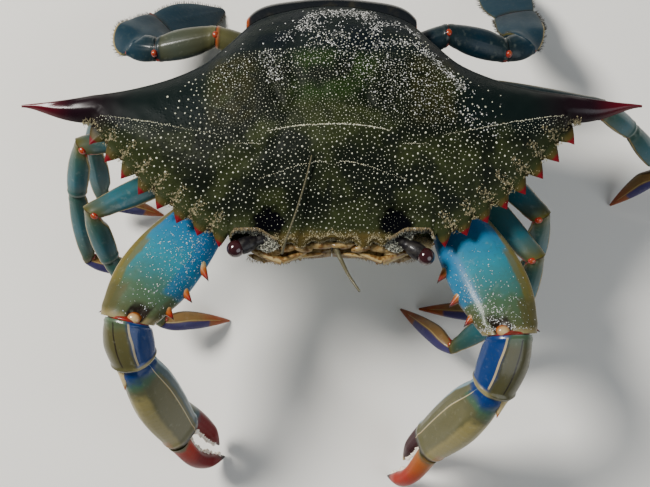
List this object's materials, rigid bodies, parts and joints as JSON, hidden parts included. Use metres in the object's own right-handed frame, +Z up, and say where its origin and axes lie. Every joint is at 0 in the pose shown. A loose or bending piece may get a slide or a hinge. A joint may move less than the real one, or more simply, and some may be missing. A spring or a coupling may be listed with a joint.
{
  "type": "blue crab model",
  "caption": "Life-size still model of a female blue crab that stands on its leg tips, claws lowered in front and swimming paddles held behind.",
  "frame": {"origin": "centre of the bounding box in plan, at the level the leg and finger tips stand on", "axes": "+X to the crab's left, along the line of its side spines; the crab faces -Y; +Z up"},
  "size_m": [0.1756, 0.152, 0.0603],
  "materials": {
    "back_shell": "smooth shell with pale raised grains and a low wet sheen, maroon towards the side spines",
    "belly_shell": "off-white shell with a low sheen",
    "eye": "dark, glossy eye",
    "mouthparts": "tan and cream jointed mouthparts, stalks and feelers",
    "finger_shell": "glossy red shell with pale teeth",
    "arm_shell": "glossy blue shell that turns grey-green towards the wrist",
    "claw_shell": "olive-tan shell with fine cross lines and a blue inner face",
    "leg_shell": "teal shell with red-orange joints",
    "paddle_shell": "dark blue shell with an olive rim"
  },
  "bodies": {
    "root": {"apron": "belly_shell", "carapace": "back_shell", "thorax": "belly_shell", "tail_rings": "back_shell", "left_eye": "eye", "left_eyestalk": "mouthparts", "left_feeler": "mouthparts", "left_mouth_plate": "mouthparts", "right_eye": "eye", "right_eyestalk": "mouthparts", "right_feeler": "mouthparts", "right_mouth_plate": "mouthparts", "left_claw_arm": "arm_shell", "left_claw_wrist": "claw_shell", "left_claw_palm": "claw_shell", "left_claw_finger": "finger_shell", "left_leg_2_merus": "leg_shell", "left_leg_2_carpus": "leg_shell", "left_leg_2_propodus": "leg_shell", "left_leg_2_dactyl": "leg_shell", "left_leg_3_merus": "leg_shell", "left_leg_3_carpus": "leg_shell", "left_leg_3_propodus": "leg_shell", "left_leg_3_dactyl": "leg_shell", "left_leg_4_merus": "leg_shell", "left_leg_4_carpus": "leg_shell", "left_leg_4_propodus": "leg_shell", "left_leg_4_dactyl": "leg_shell", "left_swimmer_base": "leg_shell", "left_swimmer_merus": "leg_shell", "left_swimmer_carpus": "leg_shell", "left_swimmer_propodus": "paddle_shell", "left_swimmer_paddle": "paddle_shell", "right_claw_arm": "arm_shell", "right_claw_wrist": "claw_shell", "right_claw_palm": "claw_shell", "right_claw_finger": "finger_shell", "right_leg_2_merus": "leg_shell", "right_leg_2_carpus": "leg_shell", "right_leg_2_propodus": "leg_shell", "right_leg_2_dactyl": "leg_shell", "right_leg_3_merus": "leg_shell", "right_leg_3_carpus": "leg_shell", "right_leg_3_propodus": "leg_shell", "right_leg_3_dactyl": "leg_shell", "right_leg_4_merus": "leg_shell", "right_leg_4_carpus": "leg_shell", "right_leg_4_propodus": "leg_shell", "right_leg_4_dactyl": "leg_shell", "right_swimmer_base": "leg_shell", "right_swimmer_merus": "leg_shell", "right_swimmer_carpus": "leg_shell", "right_swimmer_propodus": "paddle_shell", "right_swimmer_paddle": "paddle_shell"}
  },
  "joints": []
}
